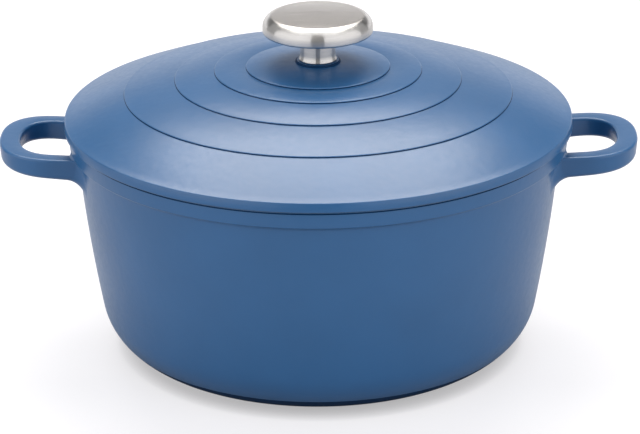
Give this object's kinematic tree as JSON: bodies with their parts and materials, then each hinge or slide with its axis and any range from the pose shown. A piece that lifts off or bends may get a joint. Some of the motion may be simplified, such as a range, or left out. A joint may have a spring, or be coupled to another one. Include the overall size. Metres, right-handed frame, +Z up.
{
  "type": "dutch oven",
  "caption": "Round enamelled cast iron pot with loop handles and a stepped, domed lift-off lid with a steel mushroom knob, for slow cooking on a hob or in an oven.",
  "frame": {"origin": "centre of the base, on the table it stands on", "axes": "+X along the line through the two loop handles, +Z up through the knob"},
  "size_m": [0.3354, 0.2666, 0.1817],
  "materials": {
    "enamelled_iron": "satin, slightly metallic blue vitreous enamel outside, pale satin enamel inside",
    "brushed_stainless": "stainless steel, top face brushed, side satin polished",
    "polished_stainless": "turned and polished stainless steel",
    "silicone": "dark matte silicone",
    "stainless_fasteners": "plain stainless steel"
  },
  "bodies": {
    "pot": {"pot": "enamelled_iron"},
    "lid": {"lid": "enamelled_iron", "knob_shell": "brushed_stainless", "knob_plate": "brushed_stainless", "knob_stem": "polished_stainless", "knob_gasket": "silicone", "knob_screw": "stainless_fasteners", "lock_washer": "stainless_fasteners", "flat_washer": "stainless_fasteners"}
  },
  "joints": [
    {"name": "lid_lift", "type": "slide", "parent": "pot", "child": "lid", "axis": [0, 0, 1], "range_m": [0, 0.2]}
  ]
}
